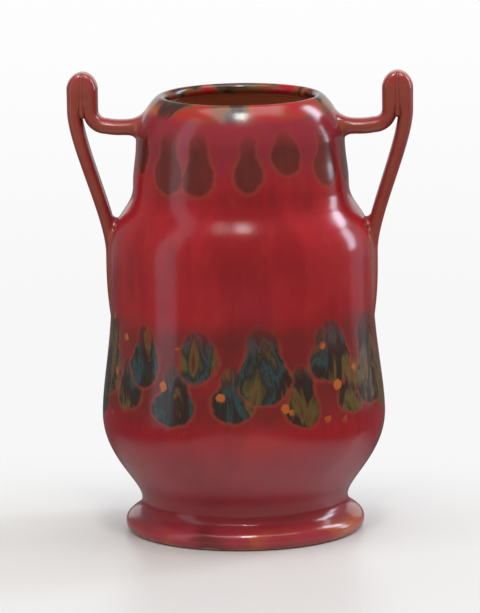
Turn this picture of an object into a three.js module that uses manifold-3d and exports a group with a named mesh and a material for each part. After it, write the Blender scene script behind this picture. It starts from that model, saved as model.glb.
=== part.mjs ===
// Two-handled vase in red-glazed stoneware.
// The body is thrown in sections that are luted together with half-lap seams: a turned foot ring,
// a belly with the floor in it, a barrel that draws in to the shoulder, and a neck with an incurved lip.
// Each handle is two pulled straps laid back to back in an upright ear: the inner strap bridges to the
// lip, the outer one sweeps down to the shoulder and runs out in a tail on the wall.
// Millimetres, +Z up, standing on z = 0, with the handles along X.

import * as THREE from 'three';
import { mergeVertices } from 'three/addons/utils/BufferGeometryUtils.js';
import Module from 'manifold-3d';

const wasm = await Module();
wasm.setup();

// Facets
const sidesOfThrownPieces = 48;
const pointsPerCurve = 6;
const pointsPerShortCurve = 4;
const pointsPerLongCurve = 8;
const pointsPerArm = 10;
const pointsRoundStrap = 12;
const stepsPerRounding = 5;
const leastStep = 0.5;

// Clay wall and the seams between pieces
const wallThickness = 6.4;
const floorThickness = 8.0;
const floorCoveHeight = 8.0;
const floorCoveWidth = 10.0;
const seamGap = 0.3;
const lapHeight = 5.0;

// Foot ring
const footRestingRadius = 65.2;
const footEdgeRadius = 68.8;
const footEdgeHeight = 4.6;
const footInnerRadius = 53.0;
const footRecessDepth = 10.0;
const footRebateWidth = 4.0;
const waistRadius = 59.4;
const waistHeight = 18.0;

// Belly and barrel
const bellyRadius = 81.2;
const bellyHeight = 67.0;
const bellySeamHeight = 100.0;
const barrelRadius = 75.2;
const barrelLowHeight = 136.0;
const barrelHighHeight = 160.0;

// Neck and lip
const neckBaseRadius = 61.6;
const neckBaseHeight = 199.0;
const neckSeamHeight = 188.0;
const neckRadius = 59.5;
const rimHeight = 250.2;
const rimCrestRadius = 45.5;
const lipDepth = 24.2;

// Handle straps
const strapThickness = 8.7;
const strapWidth = 17.0;
const armThickness = 7.6;
const earCentreRadius = 89.5;
const earTopHeight = 263.3;
const earCrownHeight = 10.0;
const bridgeDrop = 30.7;
const bridgeBendRadius = 9.0;
const bridgeSag = 1.2;
const bridgeRootDepth = 16.4;
const armEndHeight = 160.0;
const tailProud = 2.3;
const tailTipHeight = 116.0;
const tailTipSink = 0.9;

// Wads of soft clay pressed round the joints
const lipWadReach = 5.0;
const lipWadFlare = 2.8;
const lipWadEdge = 0.6;
const shoulderWadRise = 8.0;
const shoulderWadHalfWidth = 7.0;

// Fullness of the curves: how far each one keeps to its end directions, as shares of its own height
// or width, from its lower or outer end to its upper or inner end
const heelFullness = [0.5, 0.65];
const footHollowFullness = [0.49, 0.56];
const bellyLowFullness = [0.22, 0.49];
const bellyHighFullness = [0.26, 0.38];
const shoulderFullness = [0.59, 0.37];
const neckFullness = [0.37, 0.44];
const lipFullness = [0.37, 0.29];
const coveFullness = [0.6, 0.6];
const roundFullness = 0.55;
const armFullness = [0.25, 0.24];
const tailFullness = [0.45, 0.34];
const bridgeFullness = [0.25, 0.3];

// Section of a strap: 1 is an ellipse and less is squarer, on its free faces and where two lie together
const freeFaceRoundness = 0.8;
const seamFaceRoundness = 0.35;
const crownStopAngle = THREE.MathUtils.degToRad(84);
const crownWidthShare = 0.45;
const thinningShare = 0.4;
const thumbRadiusShare = 0.65;

const halfTurn = Math.PI;
const quarterTurn = halfTurn / 2;
const fullTurn = 2 * halfTurn;
const neckHighHeight = rimHeight - lipDepth;
const legHighHeight = earTopHeight - earCrownHeight;
const bridgeHeight = earTopHeight - bridgeDrop;
const earFootHeight = bridgeHeight + bridgeBendRadius;
const bridgeRootHeight = Math.min(bridgeHeight + bridgeSag, rimHeight - bridgeRootDepth);

// Points on a cubic curve in the (radius, height) plane, both ends included
function bend(start, startPull, endPull, end, count = pointsPerCurve) {
  const ends = [start, startPull, endPull, end].map(([radius, height]) => new THREE.Vector2(radius, height));
  return new THREE.CubicBezierCurve(...ends).getPoints(count);
}

// A curve that is upright at both ends, from a low point to a high one
function uprightBend([lowRadius, low], [highRadius, high], [lowShare, highShare], count = pointsPerCurve) {
  return bend([lowRadius, low], [lowRadius, low + lowShare * (high - low)],
    [highRadius, high - highShare * (high - low)], [highRadius, high], count);
}

// A curve that starts upright and ends level
function roundedBend([startRadius, start], [endRadius, end], [startShare, endShare], count = pointsPerCurve) {
  return bend([startRadius, start], [startRadius, start + startShare * (end - start)],
    [endRadius + endShare * (startRadius - endRadius), end], [endRadius, end], count);
}

// One outline from several stretches, leaving out points that repeat the one before
function joined(...stretches) {
  const points = [];
  for (const point of stretches.flat()) {
    const vector = Array.isArray(point) ? new THREE.Vector2(...point) : point;
    const last = points[points.length - 1];
    if (!last || last.distanceTo(vector) > 1e-3) {
      points.push(vector);
    }
  }
  return points;
}

// The outline moved sideways to its left by the given distance
function besideOutline(points, distance) {
  return points.map((point, index) => {
    const before = points[Math.max(index - 1, 0)];
    const after = points[Math.min(index + 1, points.length - 1)];
    const along = after.clone().sub(before).normalize();
    return new THREE.Vector2(point.x - along.y * distance, point.y + along.x * distance);
  });
}

// Radius of a rising outline at a height
function radiusAt(outline, height) {
  for (let index = 1; index < outline.length; index += 1) {
    const low = outline[index - 1];
    const high = outline[index];
    if (height >= low.y && height <= high.y) {
      return THREE.MathUtils.mapLinear(height, low.y, high.y, low.x, high.x);
    }
  }
  throw new Error(`no wall at height ${height}`);
}

// The stretch of a rising outline between two heights
function stretchBetween(outline, lowHeight, highHeight) {
  const inside = outline.filter(({ y }) => y > lowHeight + leastStep && y < highHeight - leastStep);
  const first = new THREE.Vector2(radiusAt(outline, lowHeight), lowHeight);
  const last = new THREE.Vector2(radiusAt(outline, highHeight), highHeight);
  return [first, ...inside, last];
}

// Outer face of the vase above the foot, from the waist to the crest of the rim
function outerFace() {
  return joined(
    uprightBend([waistRadius, waistHeight], [bellyRadius, bellyHeight], bellyLowFullness,
      pointsPerLongCurve),
    uprightBend([bellyRadius, bellyHeight], [barrelRadius, barrelLowHeight], bellyHighFullness),
    uprightBend([barrelRadius, barrelHighHeight], [neckBaseRadius, neckBaseHeight], shoulderFullness,
      pointsPerLongCurve),
    uprightBend([neckBaseRadius, neckBaseHeight], [neckRadius, neckHighHeight], neckFullness,
      pointsPerShortCurve),
    roundedBend([neckRadius, neckHighHeight], [rimCrestRadius, rimHeight], lipFullness,
      pointsPerLongCurve),
  );
}

const outerWall = outerFace();
const innerWall = besideOutline(outerWall, wallThickness);

// A piece thrown on the wheel: its section in the (radius, height) plane turned about the axis
function thrown(section) {
  const geometry = new THREE.LatheGeometry(section, sidesOfThrownPieces);
  geometry.rotateX(quarterTurn);
  return solidOf(geometry);
}

// Manifold solid of a closed geometry, turned the right way out
function solidOf(geometry) {
  const bare = geometry.clone();
  bare.deleteAttribute('normal');
  bare.deleteAttribute('uv');
  const merged = mergeVertices(bare, 1e-4);
  const corners = Array.from(merged.index.array);
  const kept = [];
  for (let index = 0; index < corners.length; index += 3) {
    const [a, b, c] = corners.slice(index, index + 3);
    if (a !== b && b !== c && c !== a) {
      kept.push(a, b, c);
    }
  }
  const vertices = merged.attributes.position.array;
  if (signedVolume(vertices, kept) < 0) {
    kept.reverse();
  }
  return new wasm.Manifold(new wasm.Mesh({
    numProp: 3,
    vertProperties: Float32Array.from(vertices),
    triVerts: Uint32Array.from(kept),
  }));
}

// Volume inside a closed set of triangles, negative when they face inwards
function signedVolume(vertices, corners) {
  const [a, b, c] = [new THREE.Vector3(), new THREE.Vector3(), new THREE.Vector3()];
  let volume = 0;
  for (let index = 0; index < corners.length; index += 3) {
    a.fromArray(vertices, 3 * corners[index]);
    b.fromArray(vertices, 3 * corners[index + 1]);
    c.fromArray(vertices, 3 * corners[index + 2]);
    volume += a.dot(b.cross(c)) / 6;
  }
  return volume;
}

// The half-lap seam at the top of a section: the inner half of the wall stands up as a tongue
function seamTop(seamHeight) {
  const lapRadius = seamRadius(seamHeight) - seamGap / 2;
  return [[lapRadius, seamHeight], [lapRadius, seamHeight + lapHeight],
    [radiusAt(innerWall, seamHeight + lapHeight), seamHeight + lapHeight]];
}

// The matching rebate at the foot of the section above, one seam gap away all round
function seamBottom(seamHeight) {
  const lapRadius = seamRadius(seamHeight) + seamGap / 2;
  return [[lapRadius, seamHeight + lapHeight + seamGap], [lapRadius, seamHeight + seamGap]];
}

// Middle of the wall halfway up the lap
function seamRadius(seamHeight) {
  const middle = seamHeight + lapHeight / 2;
  return (radiusAt(outerWall, middle) + radiusAt(innerWall, middle)) / 2;
}

// Turned ring that the vase stands on, rebated for the base of the belly
function footRing() {
  const edge = [footEdgeRadius, footEdgeHeight];
  const waist = [waistRadius, waistHeight];
  const heel = roundedBend(edge, [footRestingRadius, 0], [...heelFullness].reverse(),
    pointsPerShortCurve).reverse();
  const hollow = uprightBend(edge, waist, footHollowFullness);
  const rebateRadius = waistRadius - footRebateWidth;
  return thrown(joined([[footInnerRadius, 0]], heel, hollow,
    [[rebateRadius, waistHeight], [rebateRadius, footRecessDepth], [footInnerRadius, footRecessDepth],
      [footInnerRadius, 0]]));
}

// Lower thrown section: the floor and the full round of the belly, up to the first seam
function belly() {
  const underside = footRecessDepth + seamGap;
  const floorTop = underside + floorThickness;
  const spigotRadius = waistRadius - footRebateWidth - seamGap;
  const outside = stretchBetween(outerWall, waistHeight + seamGap, bellySeamHeight);
  const coveTop = floorTop + floorCoveHeight;
  const inside = stretchBetween(innerWall, coveTop, bellySeamHeight + lapHeight).reverse();
  const coveRadius = radiusAt(innerWall, coveTop);
  const cove = roundedBend([coveRadius, coveTop], [coveRadius - floorCoveWidth, floorTop],
    coveFullness, pointsPerShortCurve);
  return thrown(joined([[0, underside], [spigotRadius, underside],
    [spigotRadius, waistHeight + seamGap]], outside, seamTop(bellySeamHeight), inside, cove,
    [[0, floorTop]]));
}

// Middle thrown section: the near-straight barrel and the shoulder that draws in to the neck
function barrel() {
  const outside = stretchBetween(outerWall, bellySeamHeight + seamGap, neckSeamHeight);
  const inside = stretchBetween(innerWall, bellySeamHeight + lapHeight + seamGap,
    neckSeamHeight + lapHeight).reverse();
  const foot = seamBottom(bellySeamHeight);
  return thrown(joined(outside, seamTop(neckSeamHeight), inside, foot, [outside[0]]));
}

// Upper thrown section: the neck, and the lip that turns in over the mouth with a round nose
function neckCollar() {
  const outside = stretchBetween(outerWall, neckSeamHeight + seamGap, rimHeight);
  const noseRadius = wallThickness / 2;
  const insideFootHeight = neckSeamHeight + lapHeight + seamGap;
  const inside = stretchBetween(innerWall, insideFootHeight, rimHeight - wallThickness).reverse();
  const nose = [];
  for (let step = 1; step < stepsPerRounding; step += 1) {
    const turn = halfTurn * step / stepsPerRounding;
    nose.push([rimCrestRadius - Math.sin(turn) * noseRadius, rimHeight - (1 - Math.cos(turn)) * noseRadius]);
  }
  return thrown(joined(outside, nose, inside, seamBottom(neckSeamHeight), [outside[0]]));
}

// The whole body as a plug without a hollow, grown by the seam gap, which cuts what is luted to it
function bodyGrownByGap() {
  const grown = besideOutline(outerWall, -seamGap);
  return thrown(joined([[0, 0], [footEdgeRadius, 0]], grown, [[0, grown[grown.length - 1].y]]));
}

// Solid between rings of points, closed over at both ends
function lofted(rings) {
  const corners = [];
  for (let ring = 1; ring < rings.length; ring += 1) {
    for (let index = 0; index < pointsRoundStrap; index += 1) {
      const next = (index + 1) % pointsRoundStrap;
      const low = (ring - 1) * pointsRoundStrap;
      const high = ring * pointsRoundStrap;
      corners.push(low + index, low + next, high + next, low + index, high + next, high + index);
    }
  }
  const lastRing = (rings.length - 1) * pointsRoundStrap;
  for (let index = 1; index < pointsRoundStrap - 1; index += 1) {
    corners.push(0, index + 1, index, lastRing, lastRing + index, lastRing + index + 1);
  }
  const geometry = new THREE.BufferGeometry();
  geometry.setAttribute('position', new THREE.Float32BufferAttribute(rings.flat(2), 3));
  geometry.setIndex(corners);
  return solidOf(geometry);
}

// One ring of a strap in the XZ plane, square to its run. tilt turns its thickness away from +X, and
// seamSide is the side, 1 or -1, on which it lies flat against another strap, or 0 where it is free.
function strapRing({ x, z, tilt, thickness, width, seamSide = 0 }) {
  const points = [];
  for (let index = 0; index < pointsRoundStrap; index += 1) {
    const turn = fullTurn * index / pointsRoundStrap;
    const onSeam = seamSide !== 0 && Math.cos(turn) * seamSide > 0;
    const across = squared(Math.cos(turn), onSeam ? seamFaceRoundness : freeFaceRoundness) * thickness / 2;
    const sideways = squared(Math.sin(turn), freeFaceRoundness) * width / 2;
    points.push([x + across * Math.cos(tilt), sideways, z + across * Math.sin(tilt)]);
  }
  return points;
}

// A sine or cosine made squarer by its exponent
function squared(value, roundness) {
  return Math.sign(value) * Math.abs(value) ** roundness;
}

// Rings along points on the strap's centre line, from one thickness to another
function ringsAlong(points, thickness, width, lastThickness = thickness) {
  return points.map((point, index) => {
    const before = points[Math.max(index - 1, 0)];
    const after = points[Math.min(index + 1, points.length - 1)];
    const along = after.clone().sub(before);
    const share = THREE.MathUtils.smoothstep(index / points.length, 0, thinningShare);
    return { x: point.x, z: point.y, tilt: Math.atan2(-along.x, along.y), width,
      thickness: THREE.MathUtils.lerp(thickness, lastThickness, share) };
  });
}

// The rings with a flat face towards the other strap for as long as they stand in the ear
function flatInEar(rings, seamSide) {
  return rings.map((ring) => (ring.z > earFootHeight - leastStep ? { ...ring, seamSide } : ring));
}

// The crown of one ear half: it rounds over from the outer face to the seam between the straps
function crownRings(seamRadiusOfEar, side) {
  const rings = [];
  for (let step = stepsPerRounding; step >= 1; step -= 1) {
    const rise = Math.sin(crownStopAngle * step / stepsPerRounding);
    const spread = Math.sqrt(1 - rise * rise);
    const thickness = strapThickness * spread;
    const z = legHighHeight + earCrownHeight * rise;
    const width = strapWidth * THREE.MathUtils.lerp(crownWidthShare, 1, spread);
    rings.push({ x: seamRadiusOfEar + side * thickness / 2, z, tilt: halfTurn, thickness, width });
  }
  return rings;
}

// Inner strap: down from the ear's crown, round the bend and along the bridge to its root in the lip
function innerStrapRings(grow = 0) {
  const legRadius = earCentreRadius - (strapThickness + seamGap) / 2;
  const bendEnd = legRadius - bridgeBendRadius;
  const rootRadius = radiusAt(outerWall, bridgeRootHeight) - wallThickness / 2;
  const span = bendEnd - rootRadius;
  const turn = roundedBend([legRadius, earFootHeight], [bendEnd, bridgeHeight],
    [roundFullness, roundFullness]);
  const bridge = bend([bendEnd, bridgeHeight],
    [bendEnd - bridgeFullness[0] * span, bridgeHeight - bridgeSag],
    [rootRadius + bridgeFullness[1] * span, bridgeRootHeight - 2 * bridgeSag],
    [rootRadius, bridgeRootHeight]);
  const centreLine = joined([[legRadius, legHighHeight]], turn, bridge);
  return ringsAlong(centreLine, strapThickness + 2 * grow, strapWidth + 2 * grow);
}

function innerStrap() {
  const rings = [...crownRings(earCentreRadius - seamGap / 2, -1), ...innerStrapRings()];
  return lofted(flatInEar(rings, -1).map(strapRing));
}

// Outer strap: down from the ear's crown, in along the arm and out to a tail on the barrel wall
function outerStrapRings(grow = 0) {
  const legRadius = earCentreRadius + (strapThickness + seamGap) / 2;
  const tailRadius = barrelRadius + tailProud - armThickness / 2;
  const tipRadius = barrelRadius - tailTipSink - armThickness / 2;
  const tailLength = armEndHeight - tailTipHeight;
  const arm = uprightBend([tailRadius, armEndHeight], [legRadius, earFootHeight], armFullness,
    pointsPerArm).reverse();
  const tail = bend([tailRadius, armEndHeight], [tailRadius, armEndHeight - tailFullness[1] * tailLength],
    [tailRadius, tailTipHeight + tailFullness[0] * tailLength], [tipRadius, tailTipHeight]);
  const centreLine = joined([[legRadius, legHighHeight]], arm, tail);
  return ringsAlong(centreLine, strapThickness + 2 * grow, strapWidth + 2 * grow,
    armThickness + 2 * grow);
}

function outerStrap() {
  const rings = [...crownRings(earCentreRadius + seamGap / 2, 1), ...outerStrapRings()];
  return lofted(flatInEar(rings, 1).map(strapRing));
}

// Place and tilt of the bridge's centre line at a distance along it from its root
function bridgeFromRoot(distance) {
  const rings = innerStrapRings().reverse();
  let run = 0;
  for (let index = 1; index < rings.length; index += 1) {
    const [near, far] = [rings[index - 1], rings[index]];
    const step = Math.hypot(far.x - near.x, far.z - near.z);
    if (run + step > distance) {
      const at = (key) => THREE.MathUtils.lerp(near[key], far[key], (distance - run) / step);
      return { x: at('x'), z: at('z'), tilt: at('tilt') };
    }
    run += step;
  }
  throw new Error(`the bridge is shorter than ${distance}`);
}

// How much nearer the axis the wall lies at a point than where the bridge meets it
function wallShift(y, z) {
  const wall = radiusAt(outerWall, Math.min(z, rimHeight));
  return Math.sqrt(wall ** 2 - y ** 2) - radiusAt(outerWall, bridgeRootHeight);
}

// Wad round the root of the bridge: a fillet that spreads from the strap on to the wall and follows both
function lipWad() {
  const rings = [];
  for (let step = -1; step <= stepsPerRounding; step += 1) {
    const turn = quarterTurn * Math.max(step, 0) / stepsPerRounding;
    const flare = lipWadEdge + lipWadFlare * (1 - Math.sin(turn));
    const offWall = step < 0 ? -wallThickness / 2 : lipWadReach * (1 - Math.cos(turn));
    const place = bridgeFromRoot(wallThickness / 2 + offWall);
    const ring = strapRing({ ...place, thickness: strapThickness + 2 * flare,
      width: strapWidth + 2 * flare });
    rings.push(ring.map(([x, y, z]) => {
      const shift = wallShift(y, z);
      return [x + shift * Math.sin(place.tilt), y, z - shift * Math.cos(place.tilt)];
    }));
  }
  return lofted(rings);
}

// Gap between the arm's inner face and the wall, as (gap, height) points from the arm's end upwards
function armGaps() {
  const arm = outerStrapRings().filter(({ z }) => z >= armEndHeight && z < bridgeRootHeight).reverse();
  return arm.map(({ x, z, tilt, thickness }) => {
    const innerFace = x - thickness / 2 / Math.abs(Math.cos(tilt));
    return new THREE.Vector2(innerFace - radiusAt(outerWall, z), z);
  });
}

// Wad pressed into the crotch between the arm and the shoulder, thumbed hollow on top
function shoulderWad() {
  const gaps = armGaps();
  const open = gaps.findIndex((gap) => gap.x > 0);
  const [shut, clear] = [gaps[open - 1], gaps[open]];
  const crotchHeight = THREE.MathUtils.mapLinear(0, shut.x, clear.x, shut.y, clear.y);
  const topHeight = crotchHeight + shoulderWadRise;
  const span = radiusAt(gaps, topHeight);
  const middleRadius = radiusAt(outerWall, topHeight) + span / 2;
  const wad = new THREE.SphereGeometry(1, 2 * pointsRoundStrap, pointsRoundStrap);
  wad.scale(span, shoulderWadHalfWidth, shoulderWadRise);
  wad.translate(middleRadius, 0, crotchHeight + shoulderWadRise / 2);
  const thumbRadius = thumbRadiusShare * span;
  const thumb = new THREE.CylinderGeometry(thumbRadius, thumbRadius, strapWidth, 2 * pointsRoundStrap);
  thumb.translate(middleRadius, 0, topHeight + Math.sqrt(thumbRadius ** 2 - (span / 2) ** 2));
  const above = new THREE.BoxGeometry(2 * strapWidth, strapWidth, shoulderWadRise);
  above.translate(middleRadius, 0, topHeight + shoulderWadRise / 2);
  return solidOf(wad).subtract(solidOf(thumb)).subtract(solidOf(above));
}

// The finished solid as a mesh of its own name and material
function pieceOf(name, solid, material) {
  const { vertProperties, triVerts } = solid.getMesh();
  const geometry = new THREE.BufferGeometry();
  geometry.setAttribute('position', new THREE.Float32BufferAttribute(vertProperties, 3));
  geometry.setIndex(Array.from(triVerts));
  geometry.computeVertexNormals();
  const mesh = new THREE.Mesh(geometry, material);
  mesh.name = name;
  return mesh;
}

function glaze(color, roughness) {
  return new THREE.MeshStandardMaterial({ color, roughness, metalness: 0 });
}

const bodyGlaze = glaze('#7c2226', 0.12);
const poolingGlaze = glaze('#5c2f27', 0.14);
const handleGlaze = glaze('#80342f', 0.16);
const footGlaze = glaze('#73272a', 0.18);

const vase = new THREE.Group();
const body = bodyGrownByGap();
const innerStrapGrown = lofted(innerStrapRings(seamGap).map(strapRing));
const outerStrapGrown = lofted(outerStrapRings(seamGap).map(strapRing));

vase.add(pieceOf('foot_ring', footRing(), footGlaze));
vase.add(pieceOf('belly', belly(), poolingGlaze));
vase.add(pieceOf('barrel', barrel(), bodyGlaze));
vase.add(pieceOf('neck_collar', neckCollar(), bodyGlaze));

// Both handles are alike; the left one is the right one turned half round the axis
for (const [side, turn] of [['right', 0], ['left', halfTurn]]) {
  const handle = new THREE.Group();
  handle.rotation.z = turn;
  handle.add(pieceOf(`${side}_inner_strap`, innerStrap().subtract(body), handleGlaze));
  handle.add(pieceOf(`${side}_outer_strap`, outerStrap().subtract(body), handleGlaze));
  handle.add(pieceOf(`${side}_lip_wad`, lipWad().subtract(body).subtract(innerStrapGrown), handleGlaze));
  handle.add(pieceOf(`${side}_shoulder_wad`, shoulderWad().subtract(body).subtract(outerStrapGrown),
    handleGlaze));
  vase.add(handle);
}

export default vase;
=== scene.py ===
import bpy
import numpy as np
from mathutils import Matrix, Vector


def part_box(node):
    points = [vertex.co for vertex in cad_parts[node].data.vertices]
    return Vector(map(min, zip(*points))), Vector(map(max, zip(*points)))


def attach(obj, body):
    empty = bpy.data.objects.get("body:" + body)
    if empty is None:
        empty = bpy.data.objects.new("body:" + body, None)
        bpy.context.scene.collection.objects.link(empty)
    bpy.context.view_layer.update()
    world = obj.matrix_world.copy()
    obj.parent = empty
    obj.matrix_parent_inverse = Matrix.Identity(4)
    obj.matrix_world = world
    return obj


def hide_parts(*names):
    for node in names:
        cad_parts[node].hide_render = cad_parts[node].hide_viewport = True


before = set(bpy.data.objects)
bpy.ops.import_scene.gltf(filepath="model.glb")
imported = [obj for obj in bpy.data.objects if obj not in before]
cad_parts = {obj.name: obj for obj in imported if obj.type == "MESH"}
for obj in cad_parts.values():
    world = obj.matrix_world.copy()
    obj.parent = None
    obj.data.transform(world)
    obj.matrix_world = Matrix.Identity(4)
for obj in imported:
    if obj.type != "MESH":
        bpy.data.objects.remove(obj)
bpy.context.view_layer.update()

# The table: a sheet of white paper that the vase stands on. It takes a soft shadow and a faint
# mirror image of the foot, and it runs out into plain white behind and at the sides.
MM = 0.001
PAPER_HALF_SIZE = 0.75
PAPER_FRONT = -0.55
PLAIN_TO_THE_BACK = (-0.06, 0.22)
PLAIN_FAR_OUT = (0.14, 0.5)
DIM_TO_THE_BACK = (-0.06, 0.12)
DIM_ASIDE = (0.12, 0.26)


class Wire:
    """A socket that adds Math nodes when it is used in an expression."""

    def __init__(self, paint, socket):
        self.paint, self.socket = paint, socket

    def __add__(self, other):
        return self.paint.math("ADD", self, other)

    def __sub__(self, other):
        return self.paint.math("SUBTRACT", self, other)

    def __rsub__(self, other):
        return self.paint.math("SUBTRACT", other, self)

    def __mul__(self, other):
        return self.paint.math("MULTIPLY", self, other)

    __radd__ = __add__
    __rmul__ = __mul__


class Paint:
    """A node material. node() adds any node and returns the socket that it gives."""

    def __init__(self, name):
        self.material = bpy.data.materials.new(name)
        self.material.use_nodes = True
        self.tree = self.material.node_tree
        self.shader = self.tree.nodes["Principled BSDF"]
        self.place = self.node("ShaderNodeTexCoord", out="Object")

    def node(self, kind, settings=None, inputs=None, out=0):
        made = self.tree.nodes.new(kind)
        for key, value in (settings or {}).items():
            if key == "stops":
                self._set_stops(made.color_ramp, value)
            else:
                setattr(made, key, value)
        for key, value in (inputs or {}).items():
            self._feed(made.inputs[key], value)
        return Wire(self, made.outputs[out])

    def _set_stops(self, ramp, stops):
        for element, (position, colour) in zip(ramp.elements, (stops[0], stops[-1])):
            element.position = position
            element.color = (*colour, 1.0)
        for position, colour in stops[1:-1]:
            ramp.elements.new(position).color = (*colour, 1.0)

    def _feed(self, socket, value):
        if isinstance(value, Wire):
            self.tree.links.new(value.socket, socket)
        elif socket.type == "RGBA":
            socket.default_value = (*value, 1.0)
        else:
            socket.default_value = value

    def feed(self, inputs):
        """Sets or links the shader's own sockets, by their names."""
        for key, value in inputs.items():
            self._feed(self.shader.inputs[key], value)

    def math(self, operation, *values):
        return self.node("ShaderNodeMath", {"operation": operation}, dict(enumerate(values)))

    def axis(self, letter):
        return self.node("ShaderNodeSeparateXYZ", {}, {0: self.place}, letter)

    def mix(self, first, second, share):
        """One colour over another by a share from 0 to 1. Sockets 6 and 7 are the node's colours."""
        return self.node("ShaderNodeMix", {"data_type": "RGBA"}, {0: share, 6: first, 7: second}, 2)

    def ease(self, value, low, high):
        """Smooth step: 0 below low, 1 above high."""
        return self.node("ShaderNodeMapRange", {"interpolation_type": "SMOOTHSTEP"},
                         {0: value, 1: low, 2: high, 3: 0.0, 4: 1.0})


def from_srgb(red, green, blue):
    """The linear colour of an 8-bit sRGB one: ((v + 0.055) / 1.055) ** 2.4 above the toe."""
    share = np.array([red, green, blue]) / 255
    linear = np.where(share > 0.04045, ((share + 0.055) / 1.055) ** 2.4, share / 12.92)
    return tuple(float(value) for value in linear)


def paper_sheet():
    """The sheet as a grid of points (x, y, 0)."""
    x, y = np.meshgrid(np.linspace(-PAPER_HALF_SIZE, PAPER_HALF_SIZE, 7),
                       np.linspace(PAPER_FRONT, PAPER_HALF_SIZE, 7))
    points = np.stack([x, y, 0 * x], -1).reshape(-1, 3)
    corner = (np.arange(6)[:, None] * 7 + np.arange(6)).reshape(-1, 1)
    mesh = bpy.data.meshes.new("paper_sheet")
    mesh.from_pydata(points.tolist(), [], (corner + [0, 1, 8, 7]).tolist())
    sheet = bpy.data.objects.new("paper_sheet", mesh)
    bpy.context.scene.collection.objects.link(sheet)
    return sheet


def white_paper():
    """Paper near the vase, eased into plain white towards the back and far out. Mirror rays find it
    dim at the back and sides, so the edges of the vase stay dark as in the photograph."""
    paint = Paint("white_paper")
    paint.feed({"Base Color": from_srgb(219, 216, 212), "Roughness": 0.33, "IOR": 1.4})
    x, y = paint.axis("X"), paint.axis("Y")
    reach = paint.math("SQRT", x * x + y * y)
    plain = paint.math("MAXIMUM", paint.ease(y, *PLAIN_TO_THE_BACK), paint.ease(reach, *PLAIN_FAR_OUT))
    aside = paint.ease(paint.math("ABSOLUTE", x), *DIM_ASIDE)
    dim = paint.math("MAXIMUM", paint.ease(y, *DIM_TO_THE_BACK), aside)
    white = from_srgb(247, 247, 247)
    grey = (0.12, 0.12, 0.12)
    blend = Wire(paint, paint.shader.outputs[0])
    for kind, share, colour in (("Is Glossy Ray", dim, grey), ("Is Camera Ray", plain, white),
                                ("Is Transmission Ray", plain, white)):
        flat = paint.node("ShaderNodeEmission", {}, {"Color": colour, "Strength": 1.0})
        seen = paint.node("ShaderNodeLightPath", out=kind)
        blend = paint.node("ShaderNodeMixShader", {}, {0: share * seen, 1: blend, 2: flat})
    paint.tree.links.new(blend.socket, paint.tree.nodes["Material Output"].inputs["Surface"])
    return paint.material


sheet = paper_sheet()
sheet.data.materials.append(white_paper())


# The camera: a long lens a little above the rim, turned a trace, as the vase was photographed.
FRAME_TALL_PX = 613
MM_PER_PX = 0.571
CAMERA_DISTANCE = 3.0
CAMERA_LIFT = np.radians(10.5)
CAMERA_TURN = np.radians(3.0)
CAMERA_ROLL = np.radians(-0.8)
AIM_POINT = Vector((-1.5 * MM, 0.0, 127.8 * MM))


def facing(place, aim, roll=0.0):
    """The matrix of a lamp or camera at place that looks along its -Z towards aim."""
    turned_to = (aim - place).to_track_quat("-Z", "Y").to_matrix().to_4x4()
    return Matrix.Translation(place) @ turned_to @ Matrix.Rotation(roll, 4, "Z")


lens = bpy.data.cameras.new("long_lens")
lens.sensor_fit = "VERTICAL"
lens.sensor_height = 24.0
lens.lens = lens.sensor_height * CAMERA_DISTANCE / (FRAME_TALL_PX * MM_PER_PX * MM)
lens.clip_end = 50
camera = bpy.data.objects.new("long_lens", lens)
sideways = Matrix.Rotation(CAMERA_TURN, 4, "Z")
camera_offset = sideways @ Vector((0, -np.cos(CAMERA_LIFT), np.sin(CAMERA_LIFT))) * CAMERA_DISTANCE
camera.matrix_world = facing(AIM_POINT + camera_offset, AIM_POINT, CAMERA_ROLL)
bpy.context.scene.collection.objects.link(camera)
bpy.context.scene.camera = camera
bpy.context.scene.view_settings.view_transform = "Standard"


# The light: a wide bank overhead, one small lamp high in front, a window and a skylight to the right,
# two tall pale cards beside the vase and a pale backdrop, in a dim room. Only the camera sees the
# room as white.
ROOM_LIGHT = 0.38
ROOM_MIRROR_LIGHT = 0.24
SEEN_WHITE = (0.93, 0.985)
SEEN_FADE_HEIGHTS = (-0.18, -0.13)
WHITE_LIGHT = (1.0, 1.0, 1.0)
DAYLIGHT = (0.72, 0.84, 1.0)
LAMP_AIM = Vector((0.0, 0.0, 0.15))
LAMPS = {
    "top_bank": ((0.1, -0.2, 2.1), (2.2, 1.4), 26.0, WHITE_LIGHT),
    "high_front_lamp": ((0.09, -0.88, 2.1), (0.34, 0.5), 13.0, WHITE_LIGHT),
    "right_window": ((1.35, 0.62, 0.46), (0.26, 0.6), 3.8, DAYLIGHT),
    "right_skylight": ((1.06, 0.64, 0.98), (0.3, 0.54), 6.0, DAYLIGHT),
    "left_card": ((-0.6, -0.3, 0.15), (0.24, 1.7), 1.3, DAYLIGHT),
    "right_card": ((0.58, 0.32, 0.15), (0.26, 1.3), 0.36, DAYLIGHT),
    "pale_backdrop": ((0.0, 2.6, 0.6), (3.0, 1.1), 7.0, WHITE_LIGHT),
}


def soft_lamp(name, place, size, power, colour):
    """A rectangular lamp of a width and height in metres that faces the vase, out of the camera's sight."""
    light = bpy.data.lights.new(name, "AREA")
    light.shape = "RECTANGLE"
    light.size, light.size_y = size
    light.energy = power
    light.color = colour
    lamp = bpy.data.objects.new(name, light)
    lamp.matrix_world = facing(Vector(place), LAMP_AIM)
    lamp.visible_camera = False
    bpy.context.scene.collection.objects.link(lamp)


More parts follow.
